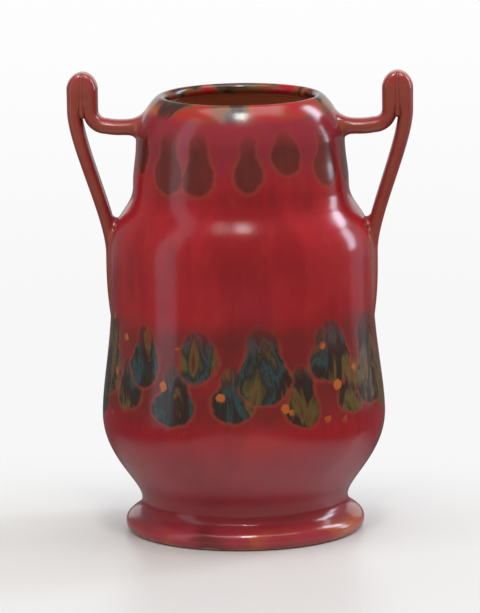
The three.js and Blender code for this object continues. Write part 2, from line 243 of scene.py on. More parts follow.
def dim_room():
    """The room about the vase: soft light from all round, dimmer to mirror rays. The camera meets
    white that fades a little downwards."""
    world = bpy.data.worlds.new("dim_room")
    world.use_nodes = True
    tree = world.node_tree

    def blend(value, first, last, low=0.0, high=1.0):
        """The first strength where the value is low, the last where it is high, and between them."""
        node = tree.nodes.new("ShaderNodeMapRange")
        tree.links.new(value, node.inputs["Value"])
        node.inputs["From Min"].default_value = low
        node.inputs["From Max"].default_value = high
        for name, strength in (("To Min", first), ("To Max", last)):
            if isinstance(strength, bpy.types.NodeSocket):
                tree.links.new(strength, node.inputs[name])
            else:
                node.inputs[name].default_value = strength
        return node.outputs["Result"]

    ray = tree.nodes.new("ShaderNodeLightPath")
    way = tree.nodes.new("ShaderNodeSeparateXYZ")
    tree.links.new(tree.nodes.new("ShaderNodeTexCoord").outputs["Generated"], way.inputs[0])
    seen = blend(way.outputs["Z"], *SEEN_WHITE, *SEEN_FADE_HEIGHTS)
    light = blend(ray.outputs["Is Glossy Ray"], ROOM_LIGHT, ROOM_MIRROR_LIGHT)
    light = blend(ray.outputs["Is Camera Ray"], light, seen)
    background = tree.nodes["Background"]
    background.inputs["Color"].default_value = (1, 1, 1, 1)
    tree.links.new(light, background.inputs["Strength"])
    return world


for lamp_name, lamp_values in LAMPS.items():
    soft_lamp(lamp_name, *lamp_values)
bpy.context.scene.world = dim_room()


# Foot ring: a turned ring of stoneware that the vase stands on. It is thrown on its own, rebated
# inside and luted to the base of the belly with slip. Its resting face is wiped bare of glaze.
FOOT_EDGE_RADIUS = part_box("foot_ring")[1].y
WAIST_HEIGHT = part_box("foot_ring")[1].z
FOOT_RESTING_RADIUS = 65.2 * MM
FOOT_EDGE_HEIGHT = 4.6 * MM
FOOT_INNER_RADIUS = 53.0 * MM
FOOT_RECESS_DEPTH = 10.0 * MM
FOOT_REBATE_WIDTH = 4.0 * MM
WAIST_RADIUS = 59.4 * MM
STEP_ALONG_SECTION = 1.3 * MM
MEAN_DRIFT = 0.26 * MM
OVAL_DRIFT = 0.16 * MM
THREE_SIDED_DRIFT = 0.07 * MM
SPIRAL_DEPTH = 0.006 * MM
SPIRAL_PITCH = 6.5 * MM
TRUE_CENTRE_RADIUS = 20 * MM
SHADE_LINE_EDGE = (1 * MM, 6 * MM)
WIPED_HEIGHTS = (0.6 * MM, 1.6 * MM)
STAINED_HEIGHTS = (7 * MM, 13 * MM)
RED = from_srgb(168, 30, 36)
DEEP_RED = from_srgb(146, 22, 28)
BRICK = from_srgb(170, 50, 36)
PLUM = from_srgb(130, 24, 42)
SHEEN_ROSE = from_srgb(176, 74, 84)
AMBER = from_srgb(192, 98, 36)
BROWN = from_srgb(84, 34, 24)
BROWN_BLACK = from_srgb(48, 24, 20)
CLAY = from_srgb(172, 128, 100)


def bend(start, start_pull, end_pull, end, count=40):
    """Cubic curve between two points, drawn towards two pulls: the sum of the four points weighted
    by (1-t)^3, 3t(1-t)^2, 3t^2(1-t) and t^3."""
    t = np.linspace(0, 1, count)[:, None]
    start, start_pull, end_pull, end = (np.asarray(p, float) for p in (start, start_pull, end_pull, end))
    return ((1 - t) ** 3 * start + 3 * (1 - t) ** 2 * t * start_pull
            + 3 * (1 - t) * t ** 2 * end_pull + t ** 3 * end)


def upright_bend(low, high, low_share, high_share):
    """A bend from a low point to a high one that is upright at both ends, for the given shares of
    its height."""
    tall = high[1] - low[1]
    return bend(low, (low[0], low[1] + low_share * tall), (high[0], high[1] - high_share * tall), high)


def rounded_bend(upright_end, level_end, upright_share, level_share):
    """A bend that leaves one point upright and comes level into the other."""
    (x0, z0), (x1, z1) = upright_end, level_end
    return bend(upright_end, (x0, z0 + upright_share * (z1 - z0)),
                (x1 + level_share * (x0 - x1), z1), level_end)


def even_steps(outline, step):
    """Points at equal distances of about one step along the outline."""
    outline = np.asarray(outline, float)
    lengths = np.linalg.norm(np.diff(outline, axis=0), axis=1)
    run = np.concatenate([[0], np.cumsum(lengths)])
    wanted = np.linspace(0, run[-1], max(int(round(run[-1] / step)), 1) + 1)
    return np.stack([np.interp(wanted, run, outline[:, k]) for k in (0, 1)], -1)


def surface(name, rings, ends="capped"):
    """A mesh from a grid of points, rings by points round each ring. Neighbouring points make
    four-sided faces and every ring closes on itself. The ends are capped by a fan about their mean
    point, or joined, the last ring to the first."""
    rings = np.asarray(rings, float)
    along, around = rings.shape[:2]
    points = rings.reshape(-1, 3)
    row = np.arange(along if ends == "joined" else along - 1)[:, None]
    column = np.arange(around)[None, :]
    next_row, next_column = (row + 1) % along, (column + 1) % around
    faces = np.stack([row * around + column, row * around + next_column,
                      next_row * around + next_column, next_row * around + column],
                     -1).reshape(-1, 4).tolist()
    if ends == "capped":
        first = np.arange(around)
        second = (first + 1) % around
        last = (along - 1) * around
        faces += np.stack([second, first, np.full(around, len(points))], -1).tolist()
        faces += np.stack([last + first, last + second, np.full(around, len(points) + 1)], -1).tolist()
        points = np.vstack([points, rings[0].mean(0), rings[-1].mean(0)])
    mesh = bpy.data.meshes.new(name)
    mesh.from_pydata(points.tolist(), [], faces)
    if volume_inside(mesh) < 0:
        mesh.flip_normals()
    mesh.shade_smooth()
    mesh.set_sharp_from_angle(angle=np.radians(40))
    piece = bpy.data.objects.new(name, mesh)
    bpy.context.scene.collection.objects.link(piece)
    return piece


def volume_inside(mesh):
    """Sum over the triangles of a . (b x c) / 6, which is below zero when the faces point inwards."""
    mesh.calc_loop_triangles()
    corners = np.empty(len(mesh.loop_triangles) * 3, np.int32)
    mesh.loop_triangles.foreach_get("vertices", corners)
    places = np.empty(len(mesh.vertices) * 3, np.float32)
    mesh.vertices.foreach_get("co", places)
    a, b, c = places.reshape(-1, 3)[corners.reshape(-1, 3)].transpose(1, 0, 2)
    return float((a * np.cross(b, c)).sum() / 6)


def hand_drift(angle, height):
    """How far the thrown wall lies inside its true round: a mean, two slow waves round the pot, of 2
    and 3 crests, which turn a little as they climb, and the faint spiral that the fingers leave."""
    oval = OVAL_DRIFT * np.cos(2 * angle + 0.7 + 5 * height)
    three_sided = THREE_SIDED_DRIFT * np.cos(3 * angle - 9 * height)
    spiral = SPIRAL_DEPTH * np.cos(2 * np.pi * height / SPIRAL_PITCH + angle)
    return MEAN_DRIFT + oval + three_sided + spiral


def turned(name, outside, inside, ends="joined", around=256):
    """A thrown piece: its section, as stretches of (radius, height), turned about the axis to
    (radius cos a, radius sin a, height), the radius less the drift of the hand. Points of the
    stretches that face the hollow carry 1 in the attribute named inside, eased over 5 points."""
    parts = [even_steps(stretch, STEP_ALONG_SECTION)[:-1] for stretch in (*outside, *inside)]
    section = np.vstack(parts)
    faces_in = np.repeat([0.0] * len(outside) + [1.0] * len(inside), [len(part) for part in parts])
    padded = np.pad(faces_in, 2, mode="wrap" if ends == "joined" else "edge")
    faces_in = np.convolve(padded, np.ones(5) / 5, mode="valid")
    radius, height = section[:, :1], section[:, 1:]
    angle = np.linspace(0, 2 * np.pi, around, endpoint=False)[None, :]
    radius = radius - hand_drift(angle, height) * (radius > TRUE_CENTRE_RADIUS)
    piece = surface(name, np.stack([radius * np.cos(angle), radius * np.sin(angle), height + 0 * angle],
                                   -1), ends)
    caps = faces_in[[0, -1]] if ends == "capped" else []
    marks = piece.data.attributes.new("inside", "FLOAT", "POINT")
    marks.data.foreach_set("value", np.concatenate([np.repeat(faces_in, around), caps]))
    return piece


def noise(paint, scale, detail=2.0, roughness=0.5, distortion=0.0, stretch_up=1.0):
    """Cloudy noise of a number of clouds in a metre, drawn out upwards by stretch_up."""
    place = paint.node("ShaderNodeMapping", {}, {"Vector": paint.place, "Scale": (1, 1, 1 / stretch_up)})
    return paint.node("ShaderNodeTexNoise", {}, {"Vector": place, "Scale": scale, "Detail": detail,
                      "Roughness": roughness, "Distortion": distortion}, "Fac")


def red_ground(paint):
    """The red glaze as it melts: clouds of deep and bright red, drawn into streaks where it ran,
    with plum where it is thick, brick where it is thin, and fine dark specks."""
    cloud = noise(paint, 15.0, 3.0)
    streak = noise(paint, 70.0, 3.0, roughness=0.55, distortion=0.3, stretch_up=5.0)
    colour = paint.mix(DEEP_RED, RED, paint.ease(cloud + (streak - 0.5) * 0.7, 0.34, 0.64))
    thick = paint.ease(noise(paint, 24.0, 2.0, stretch_up=2.0), 0.5, 0.72)
    thin = paint.ease(noise(paint, 110.0, 4.0, roughness=0.6, stretch_up=2.0), 0.52, 0.76)
    colour = paint.mix(paint.mix(colour, PLUM, thick * 0.35), BRICK, thin * 0.35)
    dots = paint.node("ShaderNodeTexVoronoi", {}, {"Vector": paint.place, "Scale": 420.0}, "Distance")
    specks = (1.0 - paint.ease(dots, 0.1, 0.22)) * paint.ease(noise(paint, 60.0), 0.5, 0.62)
    return paint.mix(colour, BROWN_BLACK, specks * 0.5)


def glassy(paint, colour, gloss):
    """Finishes a glaze: satin glass with the slow ripple and fine pits of a fired surface."""
    ripple = noise(paint, 42.0) + 0.1 * noise(paint, 700.0)
    normal = paint.node("ShaderNodeBump", {}, {"Strength": 0.14, "Distance": 0.001, "Height": ripple},
                        "Normal")
    paint.feed({"Base Color": colour, "Roughness": gloss, "IOR": 1.5, "Normal": normal})
    return paint.material


def painted_shade_line(paint, middle):
    """The share of deep red in a line round the pot at one height: painted shade, used where the belly
    tucks into the waist.
    """
    away = paint.math("ABSOLUTE", paint.axis("Z") - middle)
    return (1.0 - paint.ease(away, *SHADE_LINE_EDGE)) * 0.7


def foot_glaze():
    """Red glaze with a painted rose sheen over the whole foot, amber and dark runs, painted shade in a deep
    red line at the waist, and bare clay where it stands.
    """
    paint = Paint("foot_glaze")
    height = paint.axis("Z")
    # Painted reflection: the whole foot is mixed towards rose, a pinkish sheen that stands in for the pale
    # paper it mirrors.
    colour = paint.mix(red_ground(paint), SHEEN_ROSE, 0.42)
    # Painted shade: a deep red line round the foot at the waist crease.
    colour = paint.mix(colour, DEEP_RED, painted_shade_line(paint, WAIST_HEIGHT + 0.5 * MM))
    wander = (noise(paint, 60.0, 3.0) - 0.5) * 0.012
    low = 1.0 - paint.ease(height + wander, *STAINED_HEIGHTS)
    patch = noise(paint, 16.0, 2.0)
    colour = paint.mix(colour, AMBER, low * paint.ease(patch, 0.52, 0.6) * 0.75)
    colour = paint.mix(colour, BROWN, low * (1.0 - paint.ease(patch, 0.34, 0.46)) * 0.6)
    edge = noise(paint, 130.0, 3.0)
    bare = 1.0 - paint.ease(height + (edge - 0.5) * 0.002, *WIPED_HEIGHTS)
    colour = paint.mix(colour, CLAY, bare)
    return glassy(paint, colour, 0.17 + 0.55 * bare)


def foot_ring():
    """Turned section: round the heel from the resting face, up the concave side to the waist, and
    back down the rebate and the bore."""
    heel = rounded_bend((FOOT_EDGE_RADIUS, FOOT_EDGE_HEIGHT), (FOOT_RESTING_RADIUS, 0), 0.65, 0.5)[::-1]
    side = upright_bend((FOOT_EDGE_RADIUS, FOOT_EDGE_HEIGHT), (WAIST_RADIUS, WAIST_HEIGHT), 0.49, 0.56)
    rebate = WAIST_RADIUS - FOOT_REBATE_WIDTH
    corners = [(WAIST_RADIUS, WAIST_HEIGHT), (rebate, WAIST_HEIGHT), (rebate, FOOT_RECESS_DEPTH),
               (FOOT_INNER_RADIUS, FOOT_RECESS_DEPTH), (FOOT_INNER_RADIUS, 0), (FOOT_RESTING_RADIUS, 0)]
    return turned("glazed_foot_ring", [heel, side], list(zip(corners, corners[1:])))


ring = foot_ring()
ring.data.materials.append(foot_glaze())
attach(ring, "root")
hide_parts("foot_ring")


# The wall above the foot: three thrown sections of one clay, the belly with its floor, the barrel
# with the shoulder, and the neck with the lip. Each has a tongue that sits in a rebate of the next,
# luted with slip, and one coat of glaze runs over the seams without a break.
WALL = 6.4 * MM
SEAM_GAP = 0.3 * MM
LAP_HEIGHT = 5.0 * MM
FLOOR_THICKNESS = 8.0 * MM
FLOOR_COVE_HEIGHT = 8.0 * MM
FLOOR_COVE_WIDTH = 10.0 * MM
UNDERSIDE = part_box("belly")[0].z
BELLY_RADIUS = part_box("belly")[1].y
BELLY_HEIGHT = 67.0 * MM
BELLY_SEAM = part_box("belly")[1].z - LAP_HEIGHT
BARREL_RADIUS = 75.2 * MM
BARREL_LOW_HEIGHT = 136.0 * MM
BARREL_HIGH_HEIGHT = 160.0 * MM
NECK_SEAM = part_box("barrel")[1].z - LAP_HEIGHT
NECK_BASE_RADIUS = 61.6 * MM
NECK_BASE_HEIGHT = 199.0 * MM
NECK_RADIUS = 59.5 * MM
NECK_HIGH_HEIGHT = 226.0 * MM
RIM_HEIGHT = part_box("neck_collar")[1].z
RIM_CREST_RADIUS = 45.5 * MM
AXIS_HOLE = 0.5 * MM
LOW_SHEEN_HEIGHTS = (45 * MM, 68 * MM)
HIGH_SHEEN_HEIGHTS = (202 * MM, 226 * MM)
BELT_FOOT_HEIGHTS = (66 * MM, 82 * MM)
BELT_TOP_HEIGHTS = (120 * MM, 136 * MM)
MELTED_RIM_HEIGHTS = (239.5 * MM, 244.5 * MM)
RUN_COVER_EDGE = (-1.2 * MM, 0.8 * MM)
NECK_COVER_EDGE = (-2.0 * MM, 1.0 * MM)
BELT_ROWS = (
    {"count": 13, "shift": 0.5, "top": 100 * MM, "hang": 18 * MM, "half_width": 11.8 * MM},
    {"count": 13, "shift": 0.0, "top": 120 * MM, "hang": 28 * MM, "half_width": 14.6 * MM})
NECK_ROW = {"count": 15, "shift": 0.25, "top": 229.5 * MM, "hang": 18 * MM, "half_width": 11.8 * MM}
SHEEN_MULBERRY = from_srgb(126, 48, 60)
OLIVE = from_srgb(98, 80, 38)
WARM_BROWN = from_srgb(150, 66, 44)
GREEN_BLACK = from_srgb(28, 40, 34)
TEAL = from_srgb(46, 70, 70)
BUFF = from_srgb(212, 138, 96)

outer_face = np.vstack([
    upright_bend((WAIST_RADIUS, WAIST_HEIGHT), (BELLY_RADIUS, BELLY_HEIGHT), 0.22, 0.49)[:-1],
    upright_bend((BELLY_RADIUS, BELLY_HEIGHT), (BARREL_RADIUS, BARREL_LOW_HEIGHT), 0.26, 0.38),
    upright_bend((BARREL_RADIUS, BARREL_HIGH_HEIGHT), (NECK_BASE_RADIUS, NECK_BASE_HEIGHT), 0.59,
                 0.37)[:-1],
    upright_bend((NECK_BASE_RADIUS, NECK_BASE_HEIGHT), (NECK_RADIUS, NECK_HIGH_HEIGHT), 0.37, 0.44)[:-1],
    rounded_bend((NECK_RADIUS, NECK_HIGH_HEIGHT), (RIM_CREST_RADIUS, RIM_HEIGHT), 0.37, 0.29)])


def beside(outline, distance):
    """The outline moved to its left by a distance, square to its run."""
    along = np.gradient(outline, axis=0)
    along /= np.linalg.norm(along, axis=1, keepdims=True)
    return outline + distance * np.stack([-along[:, 1], along[:, 0]], -1)


inner_face = beside(outer_face, WALL)


def radius_at(face, height):
    """The radius of a rising face at a height, straight between its points."""
    return np.interp(height, face[:, 1], face[:, 0])


def between(face, low, high):
    """The stretch of a rising face between two heights, with its end points worked out."""
    middle = face[(face[:, 1] > low + 0.2 * MM) & (face[:, 1] < high - 0.2 * MM)]
    return np.vstack([[radius_at(face, low), low], middle, [radius_at(face, high), high]])


def lap_corners(seam, side):
    """The stepped joint at a seam, from the outer face at its foot to the inner face at its top. Its
    upright lies half the seam gap to one side, 1 or -1, of the middle of the wall."""
    top = seam + LAP_HEIGHT
    middle = seam + LAP_HEIGHT / 2
    lap = (radius_at(outer_face, middle) + radius_at(inner_face, middle)) / 2 + side * SEAM_GAP / 2
    return [(radius_at(outer_face, seam), seam), (lap, seam), (lap, top), (radius_at(inner_face, top), top)]


def belly():
    """Turned section: under the floor from the axis, up the spigot and the outer face to the seam,
    and back down the inner face, the cove and the floor."""
    floor_top = UNDERSIDE + FLOOR_THICKNESS
    spigot = WAIST_RADIUS - FOOT_REBATE_WIDTH - SEAM_GAP
    cove_top = floor_top + FLOOR_COVE_HEIGHT
    cove_radius = radius_at(inner_face, cove_top)
    floor_edge = (cove_radius - FLOOR_COVE_WIDTH, floor_top)
    upper_lap = lap_corners(BELLY_SEAM, -1)
    return turned("glazed_belly", [
        [(AXIS_HOLE, UNDERSIDE), (spigot, UNDERSIDE)],
        [(spigot, UNDERSIDE), (spigot, WAIST_HEIGHT)],
        [(spigot, WAIST_HEIGHT), (WAIST_RADIUS, WAIST_HEIGHT)],
        between(outer_face, WAIST_HEIGHT, BELLY_SEAM), upper_lap[:3]], [
        upper_lap[2:], between(inner_face, cove_top, BELLY_SEAM + LAP_HEIGHT)[::-1],
        rounded_bend((cove_radius, cove_top), floor_edge, 0.6, 0.6),
        [floor_edge, (AXIS_HOLE, floor_top)]], ends="capped")


def barrel():
    """Turned section: up the outer face and down the inner one, between two stepped seams."""
    lower_lap, upper_lap = lap_corners(BELLY_SEAM, 1)[::-1], lap_corners(NECK_SEAM, -1)
    return turned("glazed_barrel", [lower_lap[1:], between(outer_face, BELLY_SEAM, NECK_SEAM),
                                    upper_lap[:3]],
                  [upper_lap[2:], between(inner_face, BELLY_SEAM + LAP_HEIGHT,
                                          NECK_SEAM + LAP_HEIGHT)[::-1], lower_lap[:2]])


def neck_collar():
    """Turned section: up the outer face from the seam, over the crest into a half round nose of the
    wall's thickness, and back down the inner face."""
    lower_lap = lap_corners(NECK_SEAM, 1)[::-1]
    turn = np.linspace(0, np.pi, 24)
    nose = np.stack([RIM_CREST_RADIUS - np.sin(turn) * WALL / 2,
                     RIM_HEIGHT - (1 - np.cos(turn)) * WALL / 2], -1)
    return turned("glazed_neck", [lower_lap[1:], between(outer_face, NECK_SEAM, RIM_HEIGHT), nose],
                  [between(inner_face, NECK_SEAM + LAP_HEIGHT, RIM_HEIGHT - WALL)[::-1], lower_lap[:2]])


def run_row(paint, wander, count, shift, top, hang, half_width):
    """A row of runs of glaze round the pot. Each starts thin and narrow at the top and swells into a
    round drop at its foot. By chance its middle lies 0.36 to 0.64 along its own share of the round,
    and it takes 0.3 to 1 of the hang and 0.75 to 1.2 of the half width. Returns the distance from
    the nearest run's edge, below zero inside it, and how thick the glaze lies, 0 to 1."""
    turn = paint.math("ARCTAN2", paint.axis("X"), -1.0 * paint.axis("Y")) * (count / (2 * np.pi)) + shift
    number = paint.math("FLOOR", paint.math("FLOORED_MODULO", turn, float(count))) + 10 * shift
    dice = paint.node("ShaderNodeTexWhiteNoise", {"noise_dimensions": "1D"}, {"W": number}, "Color")
    long, aslant, wide = (paint.node("ShaderNodeSeparateColor", {}, {0: dice}, k) for k in range(3))
    spacing = 2 * np.pi * BARREL_RADIUS / count
    aside = (paint.math("FRACT", turn) - 0.36 - 0.28 * aslant) * spacing
    height = paint.axis("Z")
    foot = top - hang * (0.3 + 0.7 * long)
    past_end = paint.math("MAXIMUM", foot - height, 0.0) + paint.math("MAXIMUM", height - top, 0.0)
    away = paint.math("SQRT", aside * aside + past_end * past_end)
    swell = 1.0 - 0.4 * paint.ease(height - foot, 0.0, 0.6 * hang)
    edge = away + wander - half_width * (0.75 + 0.45 * wide) * swell
    thick = 1.0 - paint.ease(height + wander * 2.0, top - 0.35 * hang, top + 1.1 * half_width)
    return edge, thick


def outlined(paint, colour, edge, thick, reach):
    """The warm brown line that a run of glaze draws about itself, within a reach of its edge."""
    return paint.mix(colour, WARM_BROWN, (1.0 - paint.ease(edge, 0.0, reach)) * thick * 0.5)


def wall_glaze():
    """Red glaze with a painted sheen: a mulberry haze above the foot and on the neck stands in for the
    glaze's reflection of pale surroundings. It has a belt of dark runs and amber beads round the belly, a
    row of brown runs on the neck, and a rim where brown, green, teal and amber glazes have melted into each
    other. The inside is buff."""
    paint = Paint("wall_glaze")
    height = paint.axis("Z")
    # Painted sheen: mulberry is mixed in low on the belly and on the neck, a pinkish haze that stands in
    # for reflected pale light.
    painted_sheen = paint.math("MAXIMUM", paint.ease(height, *HIGH_SHEEN_HEIGHTS),
                       1.0 - paint.ease(height, *LOW_SHEEN_HEIGHTS))
    colour = paint.mix(red_ground(paint), SHEEN_MULBERRY, painted_sheen * 0.55)
    wander = (noise(paint, 45.0, 5.0, roughness=0.62, distortion=0.5) - 0.5) * 0.012
    streaks = noise(paint, 90.0, 4.0, roughness=0.62, distortion=0.6, stretch_up=4.0)
    flow = 0.55 * noise(paint, 18.0, 2.0) + 0.45 * streaks

    above_foot = paint.ease(height + wander, *BELT_FOOT_HEIGHTS)
    belt = above_foot * (1.0 - paint.ease(height + wander, *BELT_TOP_HEIGHTS))
    wash = 0.2 + 0.8 * noise(paint, 32.0, 3.0, roughness=0.6, distortion=0.4)
    colour = paint.mix(colour, BROWN, belt * wash)
    run_ramp = {"stops": [(0.36, BROWN), (0.43, OLIVE), (0.47, BROWN_BLACK), (0.52, GREEN_BLACK),
                          (0.55, TEAL), (0.58, GREEN_BLACK), (0.63, OLIVE), (0.68, BROWN)]}
    run_colour = paint.node("ShaderNodeValToRGB", run_ramp, {0: flow})
    for row in BELT_ROWS:
        edge, thick = run_row(paint, wander, **row)
        colour = outlined(paint, colour, edge, thick, 2.6 * MM)
        cover = (1.0 - paint.ease(edge, *RUN_COVER_EDGE)) * (0.25 + 0.7 * thick)
        colour = paint.mix(colour, run_colour, cover)
    cells = paint.node("ShaderNodeTexVoronoi", {}, {"Vector": paint.place, "Scale": 66.0}, "Distance")
    cells = cells + (noise(paint, 170.0, 3.0, roughness=0.6) - 0.5) * 0.45
    beads = (1.0 - paint.ease(cells, 0.13, 0.19)) * paint.ease(noise(paint, 30.0), 0.43, 0.49)
    colour = paint.mix(colour, AMBER, beads * belt * 0.85)

    edge, thick = run_row(paint, wander, **NECK_ROW)
    brown_run = paint.mix(BROWN, BROWN_BLACK, paint.ease(flow, 0.42, 0.56))
    colour = outlined(paint, colour, edge, thick, 3.0 * MM)
    colour = paint.mix(colour, brown_run, (1.0 - paint.ease(edge, *NECK_COVER_EDGE)) * thick * 0.66)

    rim_ramp = {"stops": [(0.36, RED), (0.44, BRICK), (0.49, OLIVE), (0.52, GREEN_BLACK), (0.56, BROWN),
                          (0.62, AMBER), (0.7, TEAL)]}
    melted = paint.node("ShaderNodeValToRGB", rim_ramp, {0: noise(paint, 26.0, 3.0, distortion=0.6)})
    colour = paint.mix(colour, melted, paint.ease(height + wander * 0.5, *MELTED_RIM_HEIGHTS) * 0.9)

    # Painted shade: a deep red line round the wall at the waist crease.
    colour = paint.mix(colour, DEEP_RED, painted_shade_line(paint, WAIST_HEIGHT + 1.5 * MM))
    inside = paint.node("ShaderNodeAttribute", {"attribute_name": "inside"}, out="Fac")
    colour = paint.mix(colour, BUFF, inside * 0.92)
    return glassy(paint, colour, 0.13 + 0.09 * noise(paint, 20.0))


one_coat = wall_glaze()
for piece, node, slot in ((belly(), "belly", "belly_glaze"), (barrel(), "barrel", "body_glaze"),
                          (neck_collar(), "neck_collar", "body_glaze")):
    piece.data.materials.append(one_coat)
    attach(piece, "root")
    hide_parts(node)


# Handles: each is two straps of clay, pulled by hand and laid back to back in the upright ear with
# slip between them. The inner one bends under the ear and bridges to the lip. The outer one sweeps
# in along the arm to the shoulder, and its end is thumbed down on to the wall in a tail.
STRAP_THICKNESS = 8.7 * MM
ARM_THICKNESS = 7.6 * MM
STRAP_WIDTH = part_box("right_outer_strap")[1].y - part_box("right_outer_strap")[0].y
EAR_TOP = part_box("right_outer_strap")[1].z
EAR_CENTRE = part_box("right_outer_strap")[1].x - STRAP_THICKNESS - SEAM_GAP / 2
EAR_CROWN = 10.0 * MM
BRIDGE_HEIGHT = EAR_TOP - 30.7 * MM
BRIDGE_BEND = 9.0 * MM
EAR_FOOT = BRIDGE_HEIGHT + BRIDGE_BEND
BRIDGE_SAG = 1.2 * MM
BRIDGE_ROOT_HEIGHT = BRIDGE_HEIGHT + BRIDGE_SAG
ARM_END = 160.0 * MM
TAIL_PROUD = 2.3 * MM
TAIL_TIP = 116.0 * MM
TAIL_SINK = 0.9 * MM
ROUNDNESS = 0.8
SEAM_ROUNDNESS = 0.2
TAIL_FILLET = 1.9 * MM
TAIL_SPREAD = 0.34
SEAM_END_BELOW_EAR = 2.0 * MM
SEAM_FADE = 6.0 * MM
SLIP_THICKNESS = 5.0 * MM
SLIP_WIDTH = STRAP_WIDTH - 0.1 * MM
SLIP_SUNK_AT_TOP = 0.06 * MM
SLIP_BELOW_EAR = 1.5 * MM
SLIP_ROUNDED_END = 3.0 * MM
LIP_FILLET_REACH = 6.0 * MM
LIP_FILLET_FLARE = 3.3 * MM
LIP_FILLET_EDGE = 0.03 * MM
LIP_FILLET_SKIN = 0.06 * MM
LIP_FILLET_SLIDES = 40
WEB_RISE = 8.0 * MM
WEB_HALF_WIDTH = 7.4 * MM
WEB_DROOP_AT_EDGE = 0.45
WEB_BITE = 0.5 * MM
WEB_DEPTH = 2.0 * MM
WORN_EDGE = (6.2 * MM, 8.8 * MM)
WORN_CROWN_HEIGHTS = (257.5 * MM, 264.0 * MM)
HANDLE_BROWN = from_srgb(136, 62, 55)
WORN_BROWN = from_srgb(150, 88, 62)


def squared(value, roundness):
    """The size of a value to the power of roundness, with the value's own sign."""
    return np.sign(value) * np.abs(value) ** roundness


def strap_rings(line, thickness, width, seam=0.0, across=None, around=56):
    """Ovals square to a centre line in the XZ plane. A point lies squared(c) of half the thickness
    across and squared(s) of half the width aside, c and s being the cosine and sine of its turn. On
    the side where c has the sign of seam the oval is flat, as far as the size of seam, 0 to 1."""
    if across is None:
        along = np.gradient(line, axis=0)
        along /= np.linalg.norm(along, axis=1, keepdims=True)
        across = np.stack([along[:, 1], -along[:, 0]], -1)
    turn = np.linspace(0, 2 * np.pi, around, endpoint=False)[None, :]
    seam = np.broadcast_to(seam, len(line))[:, None]
    flatness = np.clip(np.cos(turn) * np.sign(seam) > 1e-6, 0, 1) * np.abs(seam)
    lift = squared(np.cos(turn), ROUNDNESS + (SEAM_ROUNDNESS - ROUNDNESS) * flatness)
    lift = 0.5 * np.broadcast_to(thickness, len(line))[:, None] * lift
    aside = 0.5 * np.broadcast_to(width, len(line))[:, None] * squared(np.sin(turn), ROUNDNESS)
    return np.stack([line[:, :1] + lift * across[:, :1], aside, line[:, 1:] + lift * across[:, 1:]], -1)


def crown_rings(seam_x, side, thickness=STRAP_THICKNESS, width=STRAP_WIDTH, seam=1.0, top=0.0):
    """The top of an ear half, from its top down: thickness and width shrink as a quarter round."""
    rise = np.sin(np.radians(np.linspace(88, 0, 26)))[:-1]
    spread = np.sqrt(1 - rise ** 2)
    line = np.stack([seam_x + side * thickness * spread / 2, EAR_TOP - top - EAR_CROWN * (1 - rise)], -1)
    to_axis = np.tile([-1.0, 0.0], (len(line), 1))
    return strap_rings(line, thickness * spread, width * (0.45 + 0.55 * spread), seam, to_axis)


def flat_in_ear(line, side):
    """1 with the sign of side while the strap stands in the ear, falling to almost 0 at its foot."""
    return side * np.clip((line[:, 1] - EAR_FOOT + SEAM_END_BELOW_EAR) / SEAM_FADE, 0.001, 1)


def strap_line(*bends):
    """Bends joined end to end, in even steps of 1 mm."""
    return even_steps(np.vstack([part[:-1] for part in bends[:-1]] + [bends[-1]]), 1.0 * MM)


def inner_line():
    """Centre line from the foot of the crown, round the bend and along the bridge to the lip."""
    leg = EAR_CENTRE - (STRAP_THICKNESS + SEAM_GAP) / 2
    bend_end = leg - BRIDGE_BEND
    root = radius_at(outer_face, BRIDGE_ROOT_HEIGHT) - WALL / 2
    span = bend_end - root
    return strap_line(np.array([(leg, EAR_TOP - EAR_CROWN), (leg, EAR_FOOT)]),
                      rounded_bend((leg, EAR_FOOT), (bend_end, BRIDGE_HEIGHT), 0.55, 0.55),
                      bend((bend_end, BRIDGE_HEIGHT), (bend_end - 0.25 * span, BRIDGE_HEIGHT - BRIDGE_SAG),
                           (root + 0.3 * span, BRIDGE_ROOT_HEIGHT - 2 * BRIDGE_SAG),
                           (root, BRIDGE_ROOT_HEIGHT)))


def inner_strap(name):
    """Ovals along the inner line, flat against the seam while in the ear, under a rounded crown."""
    line = inner_line()
    return surface(name, np.vstack([crown_rings(EAR_CENTRE - SEAM_GAP / 2, -1, seam=-1.0),
                                    strap_rings(line, STRAP_THICKNESS, STRAP_WIDTH,
                                                flat_in_ear(line, -1))]))


def outer_line():
    """Centre line and thickness from the foot of the crown, along the arm and down the tail."""
    leg = EAR_CENTRE + (STRAP_THICKNESS + SEAM_GAP) / 2
    tail = BARREL_RADIUS + TAIL_PROUD - ARM_THICKNESS / 2
    tip = BARREL_RADIUS - TAIL_SINK - ARM_THICKNESS / 2
    tall = ARM_END - TAIL_TIP
    line = strap_line(np.array([(leg, EAR_TOP - EAR_CROWN), (leg, EAR_FOOT)]),
                      upright_bend((tail, ARM_END), (leg, EAR_FOOT), 0.25, 0.24)[::-1],
                      bend((tail, ARM_END), (tail, ARM_END - 0.34 * tall), (tail, TAIL_TIP + 0.45 * tall),
                           (tip, TAIL_TIP)))
    share = np.clip((EAR_TOP - line[:, 1]) / (EAR_TOP - ARM_END) / 0.8, 0, 1)
    thickness = STRAP_THICKNESS + (ARM_THICKNESS - STRAP_THICKNESS) * share ** 2 * (3 - 2 * share)
    return line, thickness


